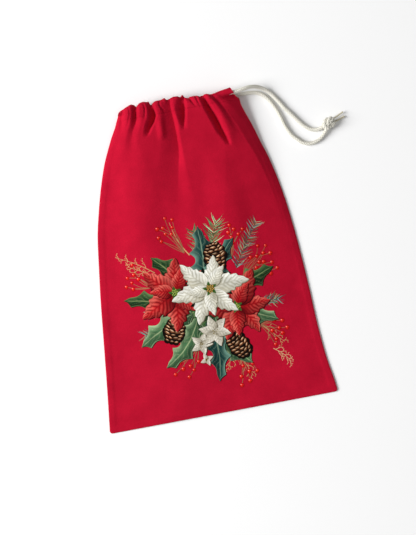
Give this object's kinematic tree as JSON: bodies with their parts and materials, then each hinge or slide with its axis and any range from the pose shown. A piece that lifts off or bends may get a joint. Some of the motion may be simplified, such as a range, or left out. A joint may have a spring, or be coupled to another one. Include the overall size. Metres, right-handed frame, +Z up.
{
  "type": "fabric gift sack",
  "caption": "Cotton drawstring gift sack lying flat, with a printed front, a sewn casing and a knotted braided cord that draws its mouth shut",
  "frame": {"origin": "middle of the sack's footprint on the table, half way along its length, without the free cord", "axes": "+X along the bottom edge towards the side the cord leaves from, +Y from the bottom edge to the mouth, +Z up, through the printed front"},
  "size_m": [0.3765, 0.412, 0.0224],
  "materials": {
    "red_cotton": "plain weave cotton, matt, medium red",
    "red_thread": "polyester sewing thread, slightly darker red",
    "printed_motif": "colour print on the cotton: red and white flowers, leaves, cones and berries",
    "cream_cord": "braided cotton cord, cream",
    "dipped_cord_end": "twisted and dipped cord end, dark cream"
  },
  "bodies": {
    "sack": {"front_panel": "red_cotton", "back_panel": "red_cotton", "front_casing": "red_cotton", "back_casing": "red_cotton", "left_seam_allowance": "red_cotton", "right_seam_allowance": "red_cotton", "bottom_seam_allowance": "red_cotton", "left_seam_thread": "red_thread", "right_seam_thread": "red_thread", "bottom_seam_thread": "red_thread", "front_hem_stitches": "red_thread", "back_hem_stitches": "red_thread", "exit_bar_tack": "red_thread", "motif_print": "printed_motif"},
    "drawcord": {"drawcord_run": "cream_cord", "casing_turn": "red_cotton"},
    "tails": {"upper_tail": "cream_cord", "lower_tail": "cream_cord", "knot": "cream_cord", "upper_tip": "dipped_cord_end", "lower_tip": "dipped_cord_end"}
  },
  "joints": [
    {"name": "drawcord_pull", "type": "slide", "parent": "sack", "child": "drawcord", "axis": [1, 0, 0], "range_m": [-0.015, 0.08], "deforming": ["front_casing", "back_casing", "front_panel", "back_panel", "front_hem_stitches", "back_hem_stitches", "left_seam_allowance", "left_seam_thread"]},
    {"name": "tails_swing", "type": "hinge", "parent": "drawcord", "child": "tails", "pos_m": [0.09275, 0.196, 0.011], "axis": [0, 0, 1], "range_deg": [-15, 15]}
  ]
}
